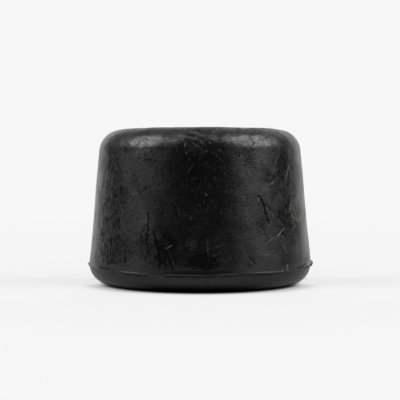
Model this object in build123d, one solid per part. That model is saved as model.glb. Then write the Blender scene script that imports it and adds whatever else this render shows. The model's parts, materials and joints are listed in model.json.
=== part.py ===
from build123d import *
import os
from math import cos, radians, sin, tan

# Push-on rubber foot for a round tubular leg, moulded in one piece.
# Millimetres, +Z up, origin at the centre of the flat underside.

# Outer form: it is widest at the mould line, close above the floor
mould_line_diameter = 40.0
mould_line_height = 3.3
total_height = 27.5
wall_draft_degrees = 5.2
base_rounding_width = 3.7
shoulder_radius = 4.0

# Thin fin of rubber squeezed out where the two halves of the mould met
flash_proud = 0.25
flash_thickness = 0.35

# Blind round socket in the narrow end, which grips the leg
socket_diameter = 22.0
base_thickness = 8.5
socket_mouth_bevel = 1.0

# Most of the rim's width that the rounded shoulder and the bevelled mouth may take
shoulder_rim_share = 0.7
mouth_rim_share = 0.25


def outer_line():
    """Underside, rounded lower edge, tapered wall and rounded shoulder, from the axis up to the rim."""
    draft = radians(wall_draft_degrees)
    widest = mould_line_diameter / 2
    rim_edge = widest - (total_height - mould_line_height) * tan(draft)
    rim_width = rim_edge - socket_diameter / 2
    full_run = shoulder_radius * tan(radians(90 - wall_draft_degrees) / 2)
    run = min(full_run, rim_width * shoulder_rim_share)

    underside = Line((0, 0), (widest - base_rounding_width, 0))
    lower_edge = TangentArc(underside @ 1, (widest, mould_line_height), tangent=underside % 1)
    wall_end = (rim_edge + run * sin(draft), total_height - run * cos(draft))
    wall = Line(lower_edge @ 1, wall_end)
    shoulder = TangentArc(wall @ 1, (rim_edge - run, total_height), tangent=wall % 1)
    return [underside, lower_edge, wall, shoulder], rim_width


def socket_line(rim_start, rim_width):
    """Flat rim, bevelled mouth, straight grip wall and flat floor of the socket, back to the axis."""
    grip = socket_diameter / 2
    lead_in = min(socket_mouth_bevel, rim_width * mouth_rim_share)
    corners = [
        rim_start,
        (grip + lead_in, total_height),
        (grip, total_height - lead_in),
        (grip, base_thickness),
        (0, base_thickness),
        (0, 0),
    ]
    return Polyline(*corners)


def body_section():
    """Right half of the moulded section, on the XZ plane."""
    outside, rim_width = outer_line()
    inside = socket_line(outside[-1] @ 1, rim_width)
    return Plane.XZ * make_face(outside + inside.edges())


def flash_section():
    """Feather-edged fin on the mould line: its sides pass the wall at the flash's thickness and end inside."""
    widest = mould_line_diameter / 2
    tip = (widest + flash_proud, mould_line_height)
    root = widest - flash_proud
    low_root = (root, mould_line_height - flash_thickness)
    high_root = (root, mould_line_height + flash_thickness)
    return Plane.XZ * make_face(Polyline(low_root, tip, high_root, close=True))


def rubber_foot():
    """The whole moulding, turned about the leg's axis."""
    return revolve(body_section() + flash_section(), axis=Axis.Z)


os.makedirs("parts", exist_ok=True)
export_step(rubber_foot(), "parts/rubber_foot.step")
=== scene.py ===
import json
import bpy
import numpy as np
from mathutils import Euler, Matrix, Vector


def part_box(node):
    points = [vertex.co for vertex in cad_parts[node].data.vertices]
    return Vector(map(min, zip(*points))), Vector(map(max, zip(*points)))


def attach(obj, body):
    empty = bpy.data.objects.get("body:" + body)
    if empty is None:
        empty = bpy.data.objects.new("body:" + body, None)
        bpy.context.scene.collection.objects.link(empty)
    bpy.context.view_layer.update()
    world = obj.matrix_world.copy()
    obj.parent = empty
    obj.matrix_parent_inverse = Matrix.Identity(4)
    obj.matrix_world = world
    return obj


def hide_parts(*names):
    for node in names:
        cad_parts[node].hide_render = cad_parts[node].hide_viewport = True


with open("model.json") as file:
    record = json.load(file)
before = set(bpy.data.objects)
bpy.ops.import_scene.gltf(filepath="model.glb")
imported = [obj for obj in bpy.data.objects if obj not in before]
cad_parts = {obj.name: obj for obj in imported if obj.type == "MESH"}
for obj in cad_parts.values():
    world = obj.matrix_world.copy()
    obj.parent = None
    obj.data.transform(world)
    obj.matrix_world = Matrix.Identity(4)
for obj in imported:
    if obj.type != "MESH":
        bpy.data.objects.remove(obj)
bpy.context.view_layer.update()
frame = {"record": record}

# The foot is one moulding of black rubber, pressed in a mould whose two halves met in a ring near the floor.
# The ring left a thin uneven fin. Above it the wall tapers to a round shoulder and a socket for a leg.
# Use has cut, pitted and dusted the wall and the shoulder, while the edge below the fin stayed almost clean.
mm = 0.001
foot_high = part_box("rubber_foot")[1]
foot_height = foot_high[2] / mm
fin_reach = 0.25
fin_height = 3.3
fin_half_thickness = 0.08
fin_root = 0.04
widest_radius = foot_high[0] / mm - fin_reach
wall_draft = np.radians(5.2)
base_rounding_width = 3.7
shoulder_radius = 4.0
leg_socket = next(mount for mount in frame["record"]["mounts"] if mount["name"] == "leg_socket")
socket_radius = leg_socket["dims"]["r_mm"]
socket_floor_height = leg_socket["pos_m"][2] / mm - leg_socket["dims"]["length_mm"] / 2
socket_mouth_bevel = 1.0
front_columns, back_columns = 400, 100
front_turn = np.radians(65)
floor_rows, edge_rows, fin_rows, wall_rows, shoulder_rows = 6, 26, 5, 96, 32
rim_rows, bevel_rows, grip_rows, socket_floor_rows = 5, 4, 12, 5
crease_angle = 0.01
pole_share = 1 / 8


def arc_rows(centre, radius, start, stop, count):
    """Rows of (radius, height, normal) on a circle about centre, from the start angle to the stop angle."""
    angle = np.linspace(start, stop, count)
    normal = np.column_stack([np.cos(angle), np.sin(angle)])
    return np.column_stack([np.asarray(centre) + radius * normal, normal])


def straight_rows(start, stop, count):
    """Rows of (radius, height, normal) from start to stop; the normal lies to the right of the way along."""
    way = np.subtract(stop, start)
    way = way / np.hypot(*way)
    normal = np.broadcast_to((way[1], -way[0]), (count, 2))
    return np.column_stack([np.linspace(start, stop, count), normal])


def moulded_section():
    """The half section in three sheaves of rows: base up to the fin's tip, wall and shoulder, then socket.

    The base edge is an arc tangent to the floor, and the shoulder is an arc tangent to the wall and the rim.
    """
    base_radius = (base_rounding_width**2 + fin_height**2) / (2 * fin_height)
    floor_edge = widest_radius - base_rounding_width
    fin_foot_angle = np.arcsin((fin_height - fin_half_thickness - base_radius) / base_radius)
    edge_end_angle = fin_foot_angle - crease_angle
    rim_edge = widest_radius - (foot_height - fin_height) * np.tan(wall_draft)
    shoulder_run = shoulder_radius * np.tan((np.pi / 2 - wall_draft) / 2)
    shoulder_centre = (rim_edge - shoulder_run, foot_height - shoulder_radius)
    fin_top = (widest_radius - fin_half_thickness * np.tan(wall_draft), fin_height + fin_half_thickness)
    wall_top = np.add(shoulder_centre, shoulder_radius * np.array([np.cos(wall_draft), np.sin(wall_draft)]))
    above_fin = np.add(fin_top, (-fin_root * np.sin(wall_draft), fin_root * np.cos(wall_draft)))
    fin_foot = arc_rows((floor_edge, base_radius), base_radius, fin_foot_angle, fin_foot_angle, 1)
    base = [
        straight_rows((floor_edge * pole_share, 0), (floor_edge, 0), floor_rows)[:-1],
        arc_rows((floor_edge, base_radius), base_radius, -np.pi / 2, edge_end_angle, edge_rows),
        fin_foot,
        straight_rows(fin_foot[0, :2], (widest_radius, fin_height), fin_rows)[1:],
    ]
    outside = [
        straight_rows((widest_radius, fin_height), fin_top, fin_rows)[1:-1],
        straight_rows(fin_top, above_fin, 2)[:-1],
        straight_rows(above_fin, wall_top, wall_rows)[:-1],
        arc_rows(shoulder_centre, shoulder_radius, wall_draft, np.pi / 2, shoulder_rows),
    ]
    socket_corners = [
        (shoulder_centre[0], foot_height),
        (socket_radius + socket_mouth_bevel, foot_height),
        (socket_radius, foot_height - socket_mouth_bevel),
        (socket_radius, socket_floor_height),
        (socket_radius * pole_share, socket_floor_height),
    ]
    socket_counts = [rim_rows, bevel_rows, grip_rows, socket_floor_rows]
    socket = [
        straight_rows(start, stop, count)[1:]
        for start, stop, count in zip(socket_corners, socket_corners[1:], socket_counts)
    ]
    return np.concatenate(base), np.concatenate(outside), np.concatenate(socket)


def unevenness(turn, rise, seed, count, most_waves, shortest):
    """Smooth noise about 0 with a spread of 1: cosines in whole waves round the foot that slant up it."""
    draw = np.random.default_rng(seed)
    waves = draw.integers(1, most_waves, count)
    slant = draw.uniform(-2 * np.pi, 2 * np.pi, count) / shortest
    phase = draw.uniform(-np.pi, np.pi, count)
    total = np.zeros(np.broadcast(turn, rise).shape)
    for k in range(count):
        total += np.cos(waves[k] * turn + slant[k] * rise + phase[k])
    return total / np.sqrt(count / 2)


def bell(offset, width, power=2):
    """Smooth bell that is 1 at no offset and 1/e at the width, with a flatter top at a higher power."""
    return np.exp(-((offset / width) ** power))


base_rows, outside_rows, socket_rows = moulded_section()
section = np.concatenate([base_rows, outside_rows, socket_rows])
radius, height, normal_out, normal_up = (column[:, None] for column in section.T)
outside = slice(len(base_rows), len(base_rows) + len(outside_rows))
turn = np.concatenate([
    np.linspace(-front_turn, front_turn, front_columns, endpoint=False),
    np.linspace(front_turn, 2 * np.pi - front_turn, back_columns, endpoint=False),
])[None, :]
turn_degrees = np.degrees(turn)
steps = np.diff(section[outside, :2], axis=0, prepend=section[outside, :2][:1])
climb = np.zeros(len(section))
climb[outside] = np.cumsum(np.hypot(*steps.T))
lift = np.zeros((len(section), turn.size))
# This field gathers wear, and also painted shade: the shadow under the fin and the shade in cuts and pits.
wear_and_shade = np.zeros((len(section), turn.size))

# The fin wanders up and down where the mould's halves met badly, and stands out more in some places.
# Each place has degrees right of the front, mm that the fin stands out, mm that it wanders up, and how
# pale its edge is painted as a highlight, from 0 to 1.
fin_places = np.array([
    (-180, 0.12, 0.00, 0.3), (-120, 0.16, 0.05, 0.3), (-96, 0.25, 0.15, 0.1), (-84, 0.24, 0.15, 0.1),
    (-72, 0.10, 0.05, 0.4), (-60, 0.07, 0.02, 1.0), (-50, 0.05, 0.00, 0.9), (-46, 0.00, 0.00, 0.0),
    (-42, 0.00, 0.00, 0.0), (-40, 0.09, 0.00, 0.8), (-35, 0.12, -0.04, 0.9), (-32, 0.10, -0.07, 0.8),
    (-30, 0.01, -0.08, 0.2), (-26, 0.01, -0.12, 0.3), (-24, 0.00, -0.14, 0.0), (-17, 0.00, -0.10, 0.0),
    (-15, 0.10, -0.09, 0.4), (-6, 0.08, -0.09, 0.55), (3, 0.16, -0.09, 0.5), (6, 0.07, -0.06, 0.4),
    (13, 0.07, 0.00, 0.5), (18, 0.01, 0.03, 0.2), (26, 0.01, 0.08, 0.2), (30, 0.06, 0.07, 0.5),
    (34, 0.12, 0.04, 1.0), (37, 0.11, 0.01, 1.0), (43, 0.10, 0.00, 1.0), (49, 0.07, -0.03, 0.9),
    (54, 0.06, -0.06, 1.0), (60, 0.20, -0.04, 0.9), (66, 0.30, 0.00, 0.5), (78, 0.36, 0.18, 0.1),
    (86, 0.40, 0.50, 0.1), (96, 0.36, 0.45, 0.1), (112, 0.12, 0.05, 0.3), (150, 0.16, 0.00, 0.3),
])
fin_most_proud, fin_jag, glint_jag, most_glint = 0.4, 0.22, 0.3, 1.4
burr_start, burr_range, burr_growth = 0.22, 0.1, 3
wander_width = 1.1
fin_dull_proud, fin_dullest = 0.015, 1.1
fin_proud, fin_wander, fin_painted_glint = (
    np.interp(turn_degrees, fin_places[:, 0], column, period=360) for column in fin_places.T[1:]
)
fin_jagged = 1 + fin_jag * unevenness(turn, 0, seed=13, count=14, most_waves=130, shortest=1)
fin_proud = np.clip(fin_proud * fin_jagged, 0, fin_most_proud)
burr = np.where(height > fin_height, np.clip(fin_proud - burr_start, 0, burr_range) * burr_growth, 0)
fin_share = np.clip(1 - np.abs(height - fin_height) / (burr + fin_half_thickness), 0, 1)
faces_out = normal_out > 0
beside_fin = bell(height - fin_height, wander_width) * faces_out
lift += fin_share * fin_proud
wear_and_shade += fin_share * np.clip(fin_proud / fin_dull_proud, 0, fin_dullest)
# The fin's edge gets a painted highlight: a pale colour in place of the shine that the line above takes off
# it.
glint_jagged = 1 + glint_jag * unevenness(turn, 0, seed=14, count=14, most_waves=160, shortest=1)
fin_glint_paint = fin_share * fin_painted_glint * np.clip(glint_jagged, 0, most_glint)

# A dull, dark line just under the fin, where it stands out in front, is a painted shadow; another dull line
# lies just above it in the middle.
under_drop, under_width, under_turn, fin_shadow_strength = 0.28, 0.18, 45, 0.7
under_proud, under_delay = 0.012, 0.1
over_rise, over_width, over_turn, over_dull = 0.45, 0.28, 17, 0.6
flat_top = 4
painted_fin_shadow = bell(height - fin_height + under_drop, under_width) * bell(turn_degrees, under_turn, flat_top)
wear_and_shade += fin_shadow_strength * painted_fin_shadow * np.clip(fin_proud / under_proud - under_delay, 0, 1) * faces_out
over_fin = bell(height - fin_height - over_rise, over_width) * bell(turn_degrees, over_turn, flat_top)
wear_and_shade += over_dull * over_fin * faces_out

# The wall is not quite true: rubber shrinks unevenly as it cools, and pulls in a little here and there.
hollow_depth, hollow_start, ripple_share = 0.028, 2, 0.5
hollows = unevenness(turn, height, seed=21, count=16, most_waves=14, shortest=14)
hollows += ripple_share * unevenness(turn, height, seed=22, count=22, most_waves=34, shortest=5)
clear_of_fin = np.clip((height[outside] - fin_height) / hollow_start, 0, 1)
lift[outside] += hollow_depth * hollows[outside] * clear_of_fin

# Cuts and scrapes. Each place along one has degrees right of the front, mm up and half width in mm.
# Its depth in mm follows the places, and a depth below 0 makes a ridge.
skin_radius = 18.8
girth = 2 * np.pi * skin_radius
lip_place, lip_width, lip_share = 1.35, 0.55, 0.12
dull_per_depth, dullest_cut = 9, 0.8
ragged_share, least_ragged, most_ragged = 0.16, 0.6, 1.7
cuts = [
    (
        [(30.6, 16.2, 0.10), (32.4, 15.3, 0.20), (33.8, 14.7, 0.23), (34.9, 13.0, 0.21), (36.7, 11.4, 0.10)],
        0.16,
    ),
    ([(34.0, 14.6, 0.16), (36.2, 14.2, 0.20), (37.8, 13.7, 0.19), (41.2, 12.7, 0.09)], 0.12),
    ([(33.2, 11.2, 0.20), (34.6, 9.9, 0.34), (35.2, 8.2, 0.16)], -0.05),
    ([(-26.3, 13.4, 0.12), (-26.0, 12.3, 0.20), (-26.4, 11.4, 0.14), (-26.1, 10.2, 0.22)], 0.07),
    ([(-26.2, 10.0, 0.14), (-26.7, 8.9, 0.20), (-27.1, 7.6, 0.12)], 0.07),
    (
        [(-22.9, 10.3, 0.12), (-21.5, 8.9, 0.22), (-20.2, 7.4, 0.28), (-19.3, 6.0, 0.22), (-18.6, 5.0, 0.12)],
        0.14,
    ),
    ([(-15.8, 6.9, 0.14), (-13.5, 5.2, 0.27), (-12.5, 4.2, 0.14)], 0.10),
    ([(-14.1, 9.2, 0.14), (-12.2, 7.5, 0.26)], 0.07),
    ([(-12.9, 14.8, 0.14), (-11.7, 13.8, 0.26), (-10.6, 12.9, 0.14)], 0.08),
    ([(-39.3, 6.9, 0.16), (-39.0, 4.9, 0.27)], 0.12),
    ([(4.3, 4.4, 0.20), (6.4, 6.1, 0.32), (9.3, 6.5, 0.16)], 0.03),
    ([(22.0, 6.8, 0.16), (25.5, 5.4, 0.40), (28.0, 4.3, 0.16)], 0.025),
    ([(-7.7, 26.2, 0.14), (-2.6, 25.8, 0.24), (1.8, 25.3, 0.20)], 0.07),
    ([(-2.6, 24.7, 0.34), (-0.8, 24.5, 0.42), (1.8, 24.0, 0.30)], 0.12),
    ([(5.4, 24.9, 0.26), (6.4, 24.8, 0.28)], 0.06),
    ([(-2.1, 23.1, 0.20), (-1.6, 22.8, 0.26)], 0.10),
    ([(-5.5, 23.6, 0.16), (-4.6, 22.9, 0.20)], 0.05),
    ([(-13.6, 23.8, 0.24), (-12.6, 23.6, 0.30)], 0.08),
    ([(11.2, 23.6, 0.22), (11.8, 23.5, 0.24)], 0.08),
    (
        [(27.4, 25.4, 0.14), (29.0, 25.4, 0.22), (30.0, 24.9, 0.26), (29.3, 24.4, 0.20), (28.5, 24.3, 0.12)],
        0.055,
    ),
    ([(-33.6, 25.0, 0.20), (-32.2, 25.2, 0.22)], 0.035),
    ([(-30.3, 25.4, 0.20), (-29.4, 25.3, 0.22)], 0.035),
    ([(-61.0, 3.7, 0.08), (-55.0, 3.6, 0.18), (-49.0, 3.6, 0.10)], 0.09),
    ([(54.0, 3.5, 0.10), (60.0, 3.7, 0.20), (67.0, 3.9, 0.22)], 0.09),
]
ragged = 1 + ragged_share * unevenness(turn, height[outside], seed=25, count=40, most_waves=320, shortest=0.9)
ragged_skin = np.clip(ragged, least_ragged, most_ragged)


def cut_line(start, stop, depth):
    """Presses a furrow into the skin from start to stop, or with a depth below 0 lifts a ridge.

    Each end is mm round the skin, mm of climb and half width. The furrow is a smooth bell over the distance
    from the nearest place on the line, made ragged by the skin's own unevenness. It has a low lip beside it,
    and it is made dull and dark, the more the deeper it is: torn rubber with painted shade in the furrow.
    """
    way = np.subtract(stop, start)[:2]
    aside = (turn * skin_radius - start[0] + girth / 2) % girth - girth / 2
    above = climb[outside, None] - start[1]
    along = np.clip((aside * way[0] + above * way[1]) / np.dot(way, way), 0, 1)
    gap = np.hypot(aside - along * way[0], above - along * way[1])
    share = gap / (start[2] + along * (stop[2] - start[2])) * ragged_skin
    furrow = np.clip(1 - share**2, 0, 1) ** 2
    lip = np.clip(1 - ((share - lip_place) / lip_width) ** 2, 0, 1) ** 2
    lift[outside] += depth * (lip_share * lip - furrow)
    # The furrow's dulling is partly torn rubber and partly painted shade, stronger in deeper cuts.
    wear_and_shade[outside] = np.maximum(wear_and_shade[outside], np.clip(furrow * depth * dull_per_depth, 0, dullest_cut))


def skin_place(degrees, place_height):
    """Mm round the skin from the front, and mm of climb up the section to that height."""
    return np.radians(degrees) * skin_radius, np.interp(place_height, section[outside, 1], climb[outside])


for places, depth in cuts:
    spots = [(*skin_place(degrees, place_height), half_width) for degrees, place_height, half_width in places]
    for start, stop in zip(spots, spots[1:]):
        cut_line(start, stop, depth)

# Small pits are scattered in fields, each with a span of degrees, a span of heights in mm and a count.
pit_fields = [
    ((-58, -38), (5, 24), 44),
    ((43, 60), (9, 23), 40),
    ((-38, 43), (5, 24), 18),
]
pit_half_widths, pit_depths = (0.14, 0.24), (0.015, 0.06)
pit_slant, pit_length, shortest_pit, pit_taper = 0.08, 0.30, 0.02, 0.05
draw = np.random.default_rng(seed=31)
for degree_span, height_span, count in pit_fields:
    for _ in range(count):
        pit_place = skin_place(draw.uniform(*degree_span), draw.uniform(*height_span))
        start = np.array([*pit_place, draw.uniform(*pit_half_widths)])
        stop = start + (draw.normal(0, pit_slant), draw.exponential(pit_length) + shortest_pit, -pit_taper)
        cut_line(start, stop, draw.uniform(*pit_depths))


def turned_mesh(name, radius, height, turn, low_pole, high_pole):
    """Closed mesh of a turned grid, with a fan of triangles at each pole.

    A point of the grid lies at (radius sin turn, -radius cos turn, height).
    """
    rows, columns = radius.shape
    grid = np.stack([radius * np.sin(turn), -radius * np.cos(turn), height], axis=-1).reshape(-1, 3)
    points = np.concatenate([grid, [(0, 0, low_pole), (0, 0, high_pole)]]) * mm
    row, column = np.meshgrid(np.arange(rows - 1), np.arange(columns), indexing="ij")
    corner = row * columns + column
    beside = row * columns + (column + 1) % columns
    quads = np.stack([corner, beside, beside + columns, corner + columns], axis=-1).reshape(-1, 4)
    ring = np.arange(columns)
    ring_next = (ring + 1) % columns
    top = (rows - 1) * columns
    low_fan = np.stack([ring_next, ring, np.full(columns, rows * columns)], axis=-1)
    high_fan = np.stack([top + ring, top + ring_next, np.full(columns, rows * columns + 1)], axis=-1)
    mesh = bpy.data.meshes.new(name)
    mesh.from_pydata(points.tolist(), [], quads.tolist() + low_fan.tolist() + high_fan.tolist())
    mesh.shade_smooth()
    mesh.validate()
    piece = bpy.data.objects.new(name, mesh)
    bpy.context.scene.collection.objects.link(piece)
    return piece


foot = turned_mesh(
    "foot_moulding",
    radius + lift * normal_out,
    np.clip(height + lift * normal_up + fin_wander * beside_fin, 0, foot_height),
    np.broadcast_to(turn, lift.shape),
    0,
    socket_floor_height,
)
# The mesh carries the wear with its painted shade, and the painted highlight on the fin's edge.
for name, field in (("wear_and_shade", wear_and_shade), ("fin_glint_paint", fin_glint_paint)):
    mark = foot.data.attributes.new(name, "FLOAT", "POINT")
    mark.data.foreach_set("value", np.append(field.ravel(), [0, 0]))


class Wire:
    """A node's output socket: sums on wires add Math nodes, and node() adds any other node."""

    def __init__(self, tree, socket=None):
        self.tree = tree
        self.socket = socket

    def node(self, kind, settings=(), inputs=(), output=0):
        """Wire of a new node: its settings are set first, then a value or a wire goes into each socket."""
        node = self.tree.nodes.new(kind)
        for name, value in dict(settings).items():
            setattr(node, name, value)
        for name, value in dict(inputs).items():
            self.put(node.inputs[name], value)
        return Wire(self.tree, node.outputs[output])

    def put(self, socket, value):
        """Puts a wire or a plain value into a node's input socket."""
        if isinstance(value, Wire):
            self.tree.links.new(value.socket, socket)
        else:
            socket.default_value = value

    def math(self, operation, first, second=0.0):
        """Wire of a Math node on one or two wires or values."""
        return self.node("ShaderNodeMath", {"operation": operation}, {0: first, 1: second})

    def __add__(self, other):
        return self.math("ADD", self, other)

    def __sub__(self, other):
        return self.math("SUBTRACT", self, other)

    def __rsub__(self, other):
        return self.math("SUBTRACT", other, self)

    def __mul__(self, other):
        return self.math("MULTIPLY", self, other)

    def __truediv__(self, other):
        return self.math("DIVIDE", self, other)

    def __pow__(self, other):
        return self.math("POWER", self, other)

    def __abs__(self):
        return self.math("ABSOLUTE", self)

    __radd__ = __add__
    __rmul__ = __mul__

    def most(self, other):
        """The larger of the two."""
        return self.math("MAXIMUM", self, other)

    def rising(self, low, high):
        """0 below low, 1 above high and smooth between them."""
        spans = {"Value": self, "From Min": low, "From Max": high}
        return self.node("ShaderNodeMapRange", {"interpolation_type": "SMOOTHSTEP"}, spans, "Result")

    def falling(self, low, high):
        """1 below low, 0 above high and smooth between them."""
        return 1 - self.rising(low, high)

    def tint(self, first, second):
        """Colour that goes from the first where the wire is 0 to the second where it is 1."""
        return self.node("ShaderNodeMix", {"data_type": "RGBA"}, {"Factor": self, 6: first, 7: second}, 2)


def grey(level):
    """Colour with red, green and blue at one level."""
    return (level, level, level, 1)


# The rubber's skin is satin black with fine lying streaks, as the mould's face left it.
# Use has rubbed it dull, pitted, scratched and dusted it, most of all in front and above the fin.
rubber = bpy.data.materials.new("worn_black_rubber")
rubber.use_nodes = True
skin = rubber.node_tree.nodes["Principled BSDF"]
bare = Wire(rubber.node_tree)
black = grey(0.0010)
# Pale grey of dust, also the colour of the painted highlight on the fin's edge.
dust_and_glint_grey = (0.150, 0.149, 0.141, 1)
lying_shape, upright_shape = (0.5, 0.5, 2.0), (1.2, 1.2, 0.5)
mouth_edge = (12.6, 13.6)
wear_start = (fin_height + 0.2, fin_height + 1.4)
place = bare.node("ShaderNodeTexCoord", output="Object")
place_mm = bare.node("ShaderNodeVectorMath", {"operation": "SCALE"}, {0: place, "Scale": 1 / mm})
lying_mm = bare.node("ShaderNodeVectorMath", {"operation": "MULTIPLY"}, {0: place_mm, 1: lying_shape})
upright_mm = bare.node("ShaderNodeVectorMath", {"operation": "MULTIPLY"}, {0: place_mm, 1: upright_shape})
across, inward, up = (bare.node("ShaderNodeSeparateXYZ", (), {0: place_mm}, axis) for axis in "XYZ")
round_mm = bare.math("ARCTAN2", across, 0 - inward) * skin_radius
# The first attribute is wear together with painted shade, the second the painted highlight on the fin's edge.
broken_and_shaded, glint_mark = (
    bare.node("ShaderNodeAttribute", {"attribute_name": name}, (), "Fac") for name in ("wear_and_shade", "fin_glint_paint")
)
outer = ((across**2 + inward**2) ** 0.5).rising(*mouth_edge)
exposed = up.rising(*wear_start) * outer


def grain(vector, lumps_per_mm, detail):
    """Cloudy noise from 0 to 1."""
    inputs = {"Vector": vector, "Scale": lumps_per_mm, "Detail": detail}
    return bare.node("ShaderNodeTexNoise", (), inputs, "Fac")


# Each patch of wear has a middle in degrees right of the front and mm up, half its width in degrees and
# half its height in mm, and a strength.
dull_patches = [
    ((-16.0, 6.9), (6.0, 3.5), 1.5),
    ((2.5, 5.4), (8.5, 1.4), 1.1),
    ((25.0, 5.3), (3.5, 1.3), 0.5),
    ((-13.0, 21.5), (4.0, 2.0), 0.5),
    ((49.0, 21.3), (5.0, 2.1), 0.55),
    ((48.0, 13.0), (4.0, 3.0), 0.7),
    ((-58.0, 23.6), (4.0, 1.0), 0.7),
]
pitted_patches = [
    ((-52.0, 13.5), (11.0, 11.0), 0.85),
    ((50.0, 19.5), (8.0, 4.5), 1.1),
    ((56.0, 13.4), (7.0, 3.4), 1.7),
    ((45.5, 13.0), (4.5, 3.5), 0.8),
    ((-17.0, 19.0), (4.5, 3.5), 0.5),
    ((15.0, 19.5), (4.5, 4.0), 0.35),
    ((-27.0, 8.0), (6.0, 4.5), 0.6),
    ((-3.5, 25.2), (6.5, 1.4), 0.4),
    ((135.0, 15.0), (20.0, 9.0), 1.0),
    ((-105.0, 17.0), (14.0, 8.0), 1.0),
]
dusty_patches = [
    ((-2.2, 23.3), (6.5, 0.6), 0.16),
    ((-2.5, 24.4), (7.5, 0.8), 0.16),
    ((-12.5, 26.0), (5.0, 0.7), 0.3),
    ((-3.5, 8.2), (2.6, 1.5), 0.15),
    ((36.5, 17.0), (4.2, 0.6), 0.16),
    ((57.5, 13.4), (6.0, 2.8), 0.9),
]
patch_rim, patch_fray, grain_middle = (0.6, 1.15), 1.8, 0.5


def patches(places, edge):
    """Sum of ovals, each 1 within and 0 outside times its strength, with edges frayed by noise."""
    total = 0.0
    for middle, half_size, strength in places:
        aside = (round_mm - np.radians(middle[0]) * skin_radius) / (np.radians(half_size[0]) * skin_radius)
        above = (up - middle[1]) / half_size[1]
        reach = (aside**2 + above**2) ** 0.5 + (edge - grain_middle) * patch_fray
        total = reach.falling(*patch_rim) * strength + total
    return total


# Wear thins out at the sides, in mm round from the front, and comes back more faintly behind them.
front_end, back_start, back_wear, fray_reach = (18, 23.5), (27, 35), 0.6, 9
fray = grain(place_mm, lumps_per_mm=0.55, detail=3.0)
fine = grain(lying_mm, lumps_per_mm=2.8, detail=2.0)
speckle = grain(upright_mm, lumps_per_mm=2.3, detail=2.0)
frayed_mm = abs(round_mm) + (fray - grain_middle) * fray_reach
facing = (frayed_mm.falling(*front_end) + frayed_mm.rising(*back_start) * back_wear) * outer
dull = patches(dull_patches, fray)
pitted = patches(pitted_patches, fray)
dusty = patches(dusty_patches, fine)

# Flecks, motes, bloom, stains and scuffs each start and are full at two levels of a noise.
# Pitted patches bring more flecks and motes, and the shoulder has fewer flecks.
fleck_levels, mote_levels = (0.635, 0.675), (0.71, 0.75)
bloom_levels, stain_levels, scuff_levels = (0.5, 0.72), (0.47, 0.62), (0.40, 0.60)
pitted_flecks, pitted_motes = 0.11, 0.03
fleck_fade, shoulder_flecks = (22.8, 24.4), 0.3
fleck_share = up.falling(*fleck_fade) * (1 - shoulder_flecks) + shoulder_flecks
flecks = (speckle + pitted * pitted_flecks).rising(*fleck_levels) * fleck_share
motes = (grain(place_mm, lumps_per_mm=2.6, detail=1.0) + pitted * pitted_motes).rising(*mote_levels)
bloom = grain(place_mm, lumps_per_mm=0.17, detail=3.0).rising(*bloom_levels)
stain = grain(place_mm, lumps_per_mm=0.32, detail=4.0).rising(*stain_levels)
scuffed = grain(place_mm, lumps_per_mm=0.24, detail=3.0).rising(*scuff_levels) * exposed * facing

# Hair-thin scratches show pale: two ends in degrees right of the front and mm up, then how pale they are.
scratches = [
    ((48.2, 10.7), (41.2, 9.0), 1.0),
    ((40.9, 9.2), (33.1, 8.0), 0.25),
    ((55.9, 21.2), (53.9, 20.0), 1.0),
    ((54.1, 20.1), (51.5, 18.6), 0.8),
    ((38.0, 17.7), (42.2, 18.5), 0.75),
    ((-31.3, 16.2), (-22.5, 17.7), 0.14),
    ((-2.6, 21.5), (-6.5, 19.8), 0.11),
    ((-16.8, 7.4), (-13.1, 8.1), 0.6),
    ((-15.0, 7.0), (-13.0, 4.6), 0.10),
    ((-13.6, 6.6), (-12.0, 4.6), 0.08),
    ((3.6, 9.4), (3.6, 7.0), 0.10),
    ((3.6, 7.2), (4.4, 5.1), 0.09),
    ((3.3, 7.2), (3.9, 7.3), 0.5),
    ((5.8, 7.6), (11.4, 8.1), 0.10),
    ((44.5, 8.0), (49.2, 5.9), 0.25),
    ((29.0, 6.3), (37.5, 6.3), 0.15),
    ((33.0, 6.7), (39.8, 6.7), 0.15),
    ((-54.4, 20.0), (-52.2, 15.0), 0.3),
    ((3.8, 16.0), (2.5, 16.6), 0.35),
    ((-4.2, 12.2), (-5.0, 12.7), 0.28),
    ((-7.4, 24.9), (-8.2, 24.0), 0.5),
    ((0.2, 24.9), (0.7, 24.7), 0.5),
    ((1.2, 24.8), (1.7, 24.5), 0.4),
    ((-7.5, 23.0), (-6.7, 23.1), 0.5),
    ((2.8, 23.3), (3.5, 23.4), 0.4),
    ((9.5, 23.6), (10.3, 23.5), 0.6),
    ((43.3, 3.4), (44.5, 3.5), 0.6),
    ((-40.7, 2.8), (-39.8, 2.8), 0.3),
    ((-33.6, 2.8), (-32.5, 2.8), 0.3),
]
# Where something was dragged over the top edge, and at one place on the fin, the smears are broader.
smears = [
    ((-6.5, 26.5), (-0.6, 26.4), 0.30),
    ((-2.6, 26.4), (3.6, 25.8), 0.25),
    ((-12.5, 25.9), (-4.0, 25.7), 0.30),
    ((-7.0, 25.7), (-1.2, 25.4), 0.30),
    ((6.8, 26.5), (8.5, 26.4), 0.70),
    ((5.0, 26.0), (9.5, 25.8), 0.26),
    ((4.2, 25.6), (10.5, 25.4), 0.30),
    ((5.5, 25.2), (12.0, 24.9), 0.26),
    ((47.7, 4.6), (47.4, 3.3), 0.55),
]
scratch_half_width, smear_half_width, core_share = 0.10, 0.27, 0.3
end_fade = (0.3, 0.53)


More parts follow.
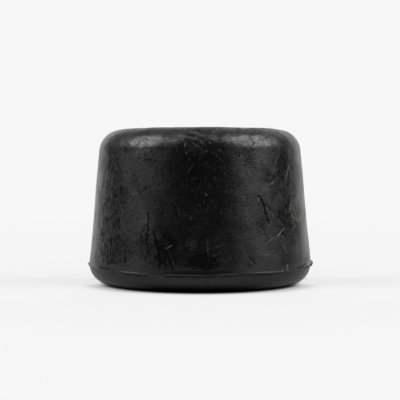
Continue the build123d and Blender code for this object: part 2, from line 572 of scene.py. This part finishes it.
def hairlines(lines, half_width):
    """Sum of straight lines between two places, each fading from its strength to 0 at its sides and ends.

    The distance to a line is taken from the nearest place on it, on the skin laid flat.
    """
    total = 0.0
    for start, stop, strength in lines:
        begin = np.array([np.radians(start[0]) * skin_radius, start[1]])
        way = np.array([np.radians(stop[0]) * skin_radius, stop[1]]) - begin
        aside, above = round_mm - begin[0], up - begin[1]
        along = (aside * way[0] + above * way[1]) / np.dot(way, way)
        share = bare.node("ShaderNodeClamp", (), {"Value": along}, "Result")
        gap = ((aside - share * way[0]) ** 2 + (above - share * way[1]) ** 2) ** 0.5
        line = gap.falling(half_width * core_share, half_width) * abs(share - 0.5).falling(*end_fade)
        total = line * strength + total
    return total


# Dust lies in the marks and thinly on the skin, broken up by the fine streaks.
scratch_levels, smear_levels, dust_levels, film_levels = (0.2, 0.42), (0.36, 0.6), (0.42, 0.6), (0.46, 0.66)
dust_pale, mote_pale, bloom_pale, film_pale = 0.65, 0.042, 0.03, 0.010
scratch = hairlines(scratches, scratch_half_width)
smear = hairlines(smears, smear_half_width)
marks = (scratch * fine.rising(*scratch_levels) + smear * fine.rising(*smear_levels)) * outer
marks = marks + dusty * dust_pale * fine.rising(*dust_levels) * exposed
film = (bloom * bloom_pale + film_pale) * fine.rising(*film_levels)
pale = marks + (motes * mote_pale + film) * exposed
bare.put(skin.inputs["Base Color"], pale.tint(black, dust_and_glint_grey))

# The relief is in mm. Streaks are deeper on the wall than on the shoulder, and the shoulder is less smooth.
streak_fade, streak_deep, streak_shallow = (22, 24), 0.010, 0.008
fray_deep, pitted_deep, fleck_deep = 0.06, 0.08, 0.016
least_rough, streak_rough, dull_rough, scratch_rough = 0.20, 0.06, 0.06, 0.2
shoulder_start, shoulder_rough = (21.5, 23.5), 0.025
streaks = fine * (up.falling(*streak_fade) * streak_deep + streak_shallow)
pitting = fray * fray_deep + pitted * speckle * pitted_deep - flecks * fleck_deep
relief_mm = (streaks + pitting * exposed) * facing
bump = bare.node("ShaderNodeBump", (), {"Strength": 1.0, "Distance": mm, "Height": relief_mm}, "Normal")
roughness = fine * streak_rough + dull * dull_rough + scratch * scratch_rough
roughness = roughness + up.rising(*shoulder_start) * shoulder_rough + least_rough
bare.put(skin.inputs["Roughness"], roughness)
bare.put(skin.inputs["Normal"], bump)

# Torn and rubbed rubber has next to no shine. The same dull finish also stands for the painted shadow under
# the fin and painted shade in cuts and pits, and its pale colour on the fin's edge is a painted highlight.
# It shows through the skin by how dull each kind of wear and painted shade is.
torn_roughness, torn_shine, glint_pale, torn_marks = 0.5, 0.05, 0.42, 0.6
streak_levels, rub_levels, pit_levels = (0.36, 0.64), (0.36, 0.6), (0.46, 0.6)
scuff_dull, front_dull, skin_dull, stain_dull = 0.38, 0.18, 0.06, 0.29
rub_dull, rub_speckle, pit_dull, fleck_dull, broken_and_shaded_dull = 0.3, 0.5, 0.24, 0.55, 0.95
torn_and_painted_light_finish = {
    "Base Color": (glint_mark * glint_pale + marks * torn_marks).tint(black, dust_and_glint_grey),
    "Roughness": torn_roughness,
    "Specular IOR Level": torn_shine,
    "Normal": bump,
}
torn_and_painted_light = bare.node("ShaderNodeBsdfPrincipled", (), torn_and_painted_light_finish, "BSDF")
mottle = fine.rising(*streak_levels) * (scuffed * scuff_dull + facing * front_dull + skin_dull)
mottle = mottle + stain * exposed * stain_dull
rubbed = dull * (speckle.rising(*rub_levels) * rub_speckle + rub_dull)
rubbed = rubbed + pitted * speckle.rising(*pit_levels) * pit_dull
dullness = mottle + (flecks * facing * fleck_dull + rubbed) * exposed + broken_and_shaded * broken_and_shaded_dull
whole = Wire(rubber.node_tree, skin.outputs["BSDF"])
skin_with_wear_and_shade = bare.node("ShaderNodeMixShader", (), {0: dullness, 1: whole, 2: torn_and_painted_light}, "Shader")
bare.put(rubber.node_tree.nodes["Material Output"].inputs["Surface"], skin_with_wear_and_shade)
foot.data.materials.append(rubber)

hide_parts("rubber_foot")
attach(foot, "root")

# The floor is a plain pale sheet that runs away from the foot and fades into the backdrop's white.
# It throws light back into the rounded base edge and holds the foot's weak shadow, helped by a painted
# contact shadow in its colour and a painted fade of its glow near the foot.
# Shades start and end at distances in metres, and directions go from 0 at a side to 1 straight in front.
backdrop_grey = 0.925
floor_grey, floor_roughness, floor_shine = 0.39, 0.9, 0.1
floor_reach = 1.2
fade_start, fade_end = 0.10, 0.28
near_glow, near_white, mirrored_white = 0.96, 0.84, 0.70
front_shade, corner_shade, side_shade = (0.0168, 0.0210), (0.0165, 0.0232), (0.0160, 0.0190)
wide_shade, wide_start, wide_end = 0.10, 0.030, 0.075
painted_shadow_start, painted_shadow_end = 0.0176, 0.0206
contact_shade = (0.0172, 0.0187)
front_directions, side_directions, wide_directions = (0.68, 1.0), (0.08, 0.42), (0.60, 0.85)
floor_sides = np.array([(-1, -1, 0), (1, -1, 0), (1, 1, 0), (-1, 1, 0)]) * floor_reach
floor_mesh = bpy.data.meshes.new("floor_sheet")
floor_mesh.from_pydata(floor_sides.tolist(), [], [(0, 1, 2, 3)])
floor = bpy.data.objects.new("floor_sheet", floor_mesh)
bpy.context.scene.collection.objects.link(floor)


def ray_kinds(wire):
    """Wires that are 1 for the camera's rays, for mirrored rays and for rays that pass through."""
    kinds = ("Camera", "Glossy", "Transmission")
    return [wire.node("ShaderNodeLightPath", output=f"Is {kind} Ray") for kind in kinds]


floor_paint = bpy.data.materials.new("pale_floor")
floor_paint.use_nodes = True
matt = floor_paint.node_tree.nodes["Principled BSDF"]
matt.inputs["Roughness"].default_value = floor_roughness
matt.inputs["Specular IOR Level"].default_value = floor_shine
sheet = Wire(floor_paint.node_tree)
spread = sheet.node("ShaderNodeTexCoord", output="Object")
distance = sheet.node("ShaderNodeVectorMath", {"operation": "LENGTH"}, {0: spread}, "Value")
far = distance.rising(fade_start, fade_end)
seen, mirrored, through = ray_kinds(sheet)
toward = sheet.node("ShaderNodeSeparateXYZ", (), {0: spread}, "Y") / distance
front = (0 - toward).rising(*front_directions)
side = abs(toward).falling(*side_directions)
# Near the foot the glow the camera sees is a painted shadow: it fades out over a span that depends on
# direction, and a faint wide painted shade dims it further out in front and at the sides.
near = distance.rising(*corner_shade)
near = near + (distance.rising(*front_shade) - near) * front
near = near + (distance.rising(*side_shade) - near) * side
shaded = distance.falling(wide_start, wide_end) * side.most((0 - toward).rising(*wide_directions))
near = near * (1 - shaded * wide_shade) * near_white
# A contact shadow is painted into the floor's colour: black at the foot's edge, wider in front.
painted_shadow_lightness = 1 - distance.falling(painted_shadow_start, painted_shadow_end) * front
painted_shadow_lightness = painted_shadow_lightness * distance.rising(*contact_shade)
sheet.put(matt.inputs["Base Color"], painted_shadow_lightness.tint(grey(0), grey(floor_grey)))
whiteness = (1 - (1 - far) * (1 - seen * near)) * seen.most(mirrored.most(through) * mirrored_white)
glow_colour = far.tint(grey(near_glow), grey(backdrop_grey))
glow = sheet.node("ShaderNodeEmission", (), {"Color": glow_colour}, "Emission")
matt_sheet = Wire(sheet.tree, matt.outputs["BSDF"])
blend = sheet.node("ShaderNodeMixShader", (), {0: whiteness, 1: matt_sheet, 2: glow}, "Shader")
sheet.put(sheet.tree.nodes["Material Output"].inputs["Surface"], blend)
floor_mesh.materials.append(floor_paint)

# The room is a pale studio: a white backdrop behind the foot, a pale ceiling, a white card at each side,
# and a dark front, where the camera stands. Bearings are in degrees right of the camera.
room_side, room_front, room_top = 0.335, 0.004, 0.72
front_edge, ceiling_edge = (15, 75), (0.55, 0.97)
left_card, left_card_start, left_card_end = 0.28, (-108, -74), (-64, -36)
right_card, right_card_start, right_card_end = 0.55, (26, 56), (68, 107)
left_lamp, right_lamp, rear_glow = np.radians((-73, 40)), np.radians((70, 41)), np.radians((150, 45))
halo, halo_edge = 1.3, 0.80
rear_halo, rear_halo_edge = 0.4, 0.9
backdrop_edge, backdrop_middle, middle_dimming = (0.56, 0.86), (0.88, 0.99), 0.45


def lamp_way(bearing, rise):
    """Unit way to a lamp: (cos rise sin bearing, -cos rise cos bearing, sin rise)."""
    return np.cos(rise) * np.sin(bearing), -np.cos(rise) * np.cos(bearing), np.sin(rise)


world = bpy.data.worlds.new("pale_studio")
bpy.context.scene.world = world
world.use_nodes = True
air = Wire(world.node_tree)
heading = air.node("ShaderNodeTexCoord", output="Generated")
aside, away, above = (air.node("ShaderNodeSeparateXYZ", (), {0: heading}, axis) for axis in "XYZ")
bearing = air.math("ARCTAN2", aside, 0 - away) * np.degrees(1)
room = abs(bearing).rising(*front_edge) * (room_side - room_front) + room_front
room = room + bearing.rising(*left_card_start) * bearing.falling(*left_card_end) * left_card
room = room + bearing.rising(*right_card_start) * bearing.falling(*right_card_end) * right_card
room = room + (room_top - room) * above.rising(*ceiling_edge)
glows = [(left_lamp, halo, halo_edge), (right_lamp, halo, halo_edge), (rear_glow, rear_halo, rear_halo_edge)]
for lamp, spill, edge in glows:
    ways = {0: heading, 1: lamp_way(*lamp)}
    nearness = air.node("ShaderNodeVectorMath", {"operation": "DOT_PRODUCT"}, ways, "Value")
    room = room + nearness.rising(edge, 1.0) * spill
seen, mirrored, through = ray_kinds(air)
back = away.rising(*backdrop_edge) * (1 - away.rising(*backdrop_middle) * middle_dimming)
backdrop = seen.most(back * mirrored.most(through))
air.put(world.node_tree.nodes["Background"].inputs["Color"], room + (backdrop_grey - room) * backdrop)

# Two soft boxes stand left and right of the foot and light its shoulder and wall from the sides.
# Each is an even white front aimed at the middle of the foot. Sizes are in metres.
softbox_distance, softbox_brightness = 0.6, 4.1
left_width, left_height = 0.50, 0.45
right_width, right_height = 0.56, 0.46


def softbox(name, bearing, rise, width, height):
    """Area lamp aimed at the foot from a bearing right of the camera and a rise above level.

    Its power is brightness times pi times its area, so it looks that many times as bright as white paper.
    """
    lamp = bpy.data.lights.new(name, "AREA")
    lamp.shape = "RECTANGLE"
    lamp.size, lamp.size_y = width, height
    lamp.energy = softbox_brightness * np.pi * width * height
    holder = bpy.data.objects.new(name, lamp)
    aim = Vector((0, 0, foot_height * mm / 2))
    holder.location = aim + Vector(lamp_way(bearing, rise)) * softbox_distance
    holder.rotation_euler = (holder.location - aim).to_track_quat("Z", "Y").to_euler()
    holder.visible_camera = False
    bpy.context.scene.collection.objects.link(holder)


softbox("left_softbox", *left_lamp, left_width, left_height)
softbox("right_softbox", *right_lamp, right_width, right_height)

# The camera stands low in front of the foot, below the height of its rim, and looks slightly down.
# Its distance and height are in mm, and with its lens they were fitted to the foot's outline.
camera_distance, camera_height = 184.55, 19.86
camera_pitch, camera_roll = 0.0269, np.radians(0.02)
picture_width, focal_pixels = 400, 1018.0
sensor_width, nearest_seen = 36, 0.01
camera_data = bpy.data.cameras.new("front_camera")
camera_data.sensor_width = sensor_width
camera_data.lens = focal_pixels * sensor_width / picture_width
camera_data.clip_start = nearest_seen
camera = bpy.data.objects.new("front_camera", camera_data)
camera.location = (0, -camera_distance * mm, camera_height * mm)
camera.rotation_euler = Euler((np.pi / 2 - camera_pitch, camera_roll, 0))
bpy.context.scene.collection.objects.link(camera)
bpy.context.scene.camera = camera
bpy.context.scene.view_settings.view_transform = "Standard"
